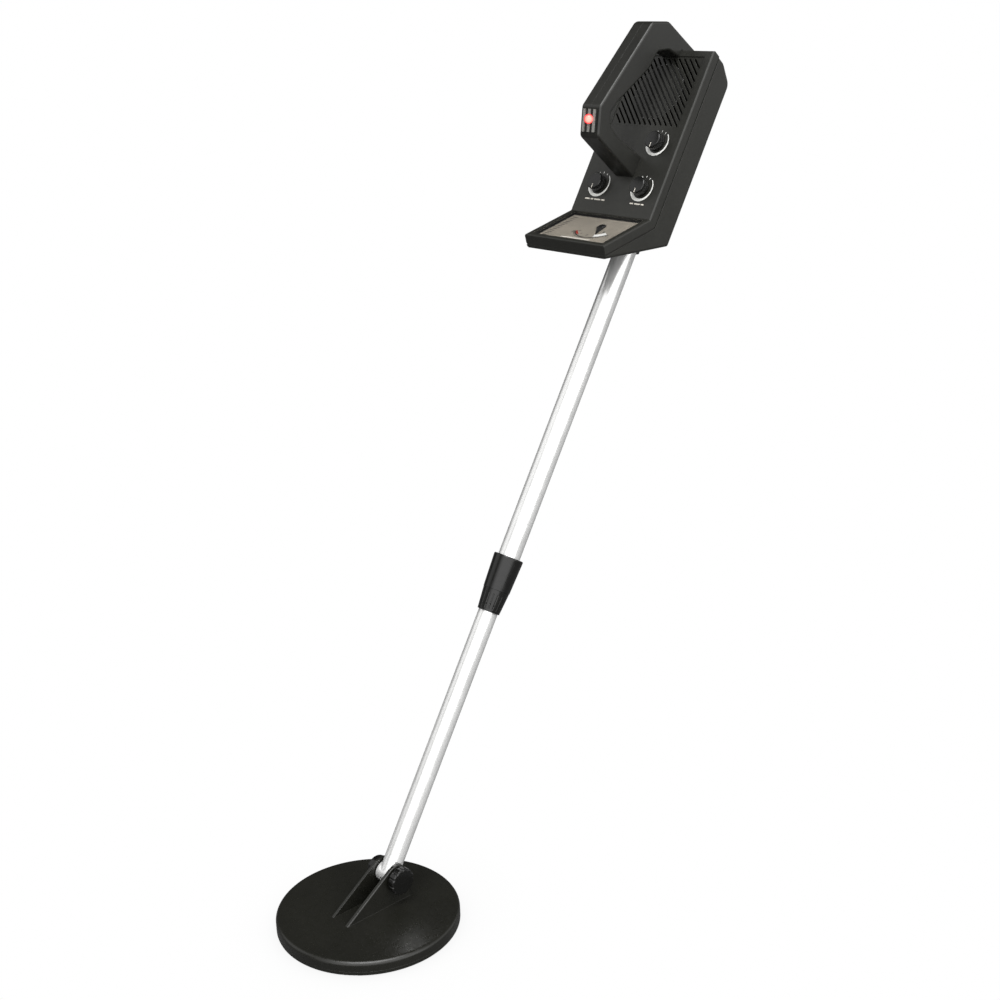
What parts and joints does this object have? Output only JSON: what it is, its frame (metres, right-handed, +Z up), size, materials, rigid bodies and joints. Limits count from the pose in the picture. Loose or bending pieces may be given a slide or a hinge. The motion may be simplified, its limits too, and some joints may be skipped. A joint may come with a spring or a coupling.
{
  "type": "metal detector",
  "caption": "Hobby metal detector: flat round search head, leaning telescopic stem with twist lock, and a control housing with a tilted meter tray, speaker grille and loop handle.",
  "frame": {"origin": "centre of the search head's flat underside", "axes": "+Z up out of the search head's top, +X forward away from the user, +Y to the user's left along the hinge bolt"},
  "size_m": [0.6268, 0.2, 0.9183],
  "materials": {
    "coil_plastic": "moulded, satin black",
    "case_plastic": "moulded, satin black with fine texture",
    "handle_plastic": "moulded, satin black",
    "knob_plastic": "gloss black",
    "collar_plastic": "gloss black",
    "nylon": "natural nylon",
    "tube_aluminium": "polished, drawn tube",
    "steel": "zinc plated",
    "bezel_metal": "ribbed plate, satin",
    "rubber": "black, soft",
    "copper": "enamelled copper wire, wrapped",
    "circuit_board": "glass-fibre board",
    "component": "moulded chip and can bodies",
    "battery": "plain wrapped case",
    "speaker_steel": "pressed steel, painted",
    "magnet": "ferrite",
    "paper": "pressed paper cone",
    "cloth": "thin woven dust cloth",
    "meter_face": "printed face",
    "needle": "painted black",
    "window": "clear flat window",
    "led": "red diffusing lens, lit",
    "chrome": "bright plated"
  },
  "bodies": {
    "housing": {"collar_sleeve": "collar_plastic", "collet": "nylon", "upper_tube": "tube_aluminium", "upper_tube_cap": "nylon", "stem_screws": "steel", "front_cover": "case_plastic", "rear_cover": "case_plastic", "case_screws": "steel", "batteries": "battery", "battery_snaps": "component", "sensitivity_pot": "steel", "tuning_pot": "steel", "pot_nuts": "steel", "volume_pot": "steel", "speaker_frame": "speaker_steel", "speaker_magnet": "magnet", "speaker_cone": "paper", "speaker_cloth": "cloth", "headphone_jack": "knob_plastic", "headphone_nut": "chrome", "meter_case": "knob_plastic", "meter_face": "meter_face", "meter_movement": "speaker_steel", "meter_window": "window", "main_circuit_board": "circuit_board", "board_components": "component", "handle_left_shell": "handle_plastic", "handle_right_shell": "handle_plastic", "led_bezel": "bezel_metal", "indicator_led": "led", "handle_screws": "steel", "handle_mount_screws": "steel"},
    "search_head": {"coil_upper_shell": "coil_plastic", "coil_lower_cover": "coil_plastic", "coil_cover_screws": "steel", "winding_carrier": "nylon", "transmit_winding": "copper", "receive_winding": "copper", "coil_terminal_board": "circuit_board", "coil_grommet": "rubber", "coil_lead": "rubber", "pivot_bolt": "knob_plastic", "friction_washers": "rubber"},
    "thumb_nut": {"pivot_thumb_nut": "knob_plastic"},
    "lower_stem": {"stem_end_plug": "tube_aluminium", "lower_tube": "tube_aluminium", "plug_screws": "steel", "guide_bush": "nylon", "stem_cable": "rubber"},
    "lock_ring": {"lock_nut": "collar_plastic"},
    "sensitivity_control": {"sensitivity_knob": "knob_plastic", "sensitivity_shaft": "nylon"},
    "tuning_control": {"tuning_knob": "knob_plastic", "tuning_shaft": "nylon"},
    "volume_control": {"volume_knob": "knob_plastic", "volume_shaft": "nylon"},
    "needle": {"meter_needle": "needle", "needle_cap": "knob_plastic"},
    "battery_flap": {"battery_door": "case_plastic"}
  },
  "joints": [
    {"name": "stem_slide", "type": "slide", "parent": "housing", "child": "lower_stem", "axis": [0.517, 0, -0.856], "range_m": [-0.14, 0.2]},
    {"name": "lock_nut_turn", "type": "hinge", "parent": "housing", "child": "lock_ring", "pos_m": [-0.1951, 0, 0.31721], "axis": [0.517, 0, -0.856], "range_deg": [0, 90]},
    {"name": "coil_tilt", "type": "hinge", "parent": "lower_stem", "child": "search_head", "pos_m": [-0.0307, 0, 0.045], "axis": [0, 1, 0], "range_deg": [-60, 50]},
    {"name": "thumb_nut_turn", "type": "hinge", "parent": "search_head", "child": "thumb_nut", "pos_m": [-0.0307, 0.02, 0.045], "axis": [0, 1, 0], "range_deg": [0, 360]},
    {"name": "sensitivity_turn", "type": "hinge", "parent": "housing", "child": "sensitivity_control", "pos_m": [-0.40336, 0.032, 0.74715], "axis": [-0.856, 0, -0.517], "range_deg": [0, 300]},
    {"name": "tuning_turn", "type": "hinge", "parent": "housing", "child": "tuning_control", "pos_m": [-0.40336, -0.032, 0.74715], "axis": [-0.856, 0, -0.517], "range_deg": [0, 300]},
    {"name": "volume_turn", "type": "hinge", "parent": "housing", "child": "volume_control", "pos_m": [-0.43092, 0.0295, 0.79278], "axis": [-0.856, 0, -0.517], "range_deg": [0, 300]},
    {"name": "needle_swing", "type": "hinge", "parent": "housing", "child": "needle", "pos_m": [-0.36249, 0.01, 0.71229], "axis": [0.2397, 0, 0.9708], "range_deg": [-70, 20], "stiffness_Nm_per_rad": 0.00002},
    {"name": "battery_door_swing", "type": "hinge", "parent": "housing", "child": "battery_flap", "pos_m": [-0.42455, 0.0326, 0.7034], "axis": [0, -1, 0], "range_deg": [0, 90]}
  ]
}
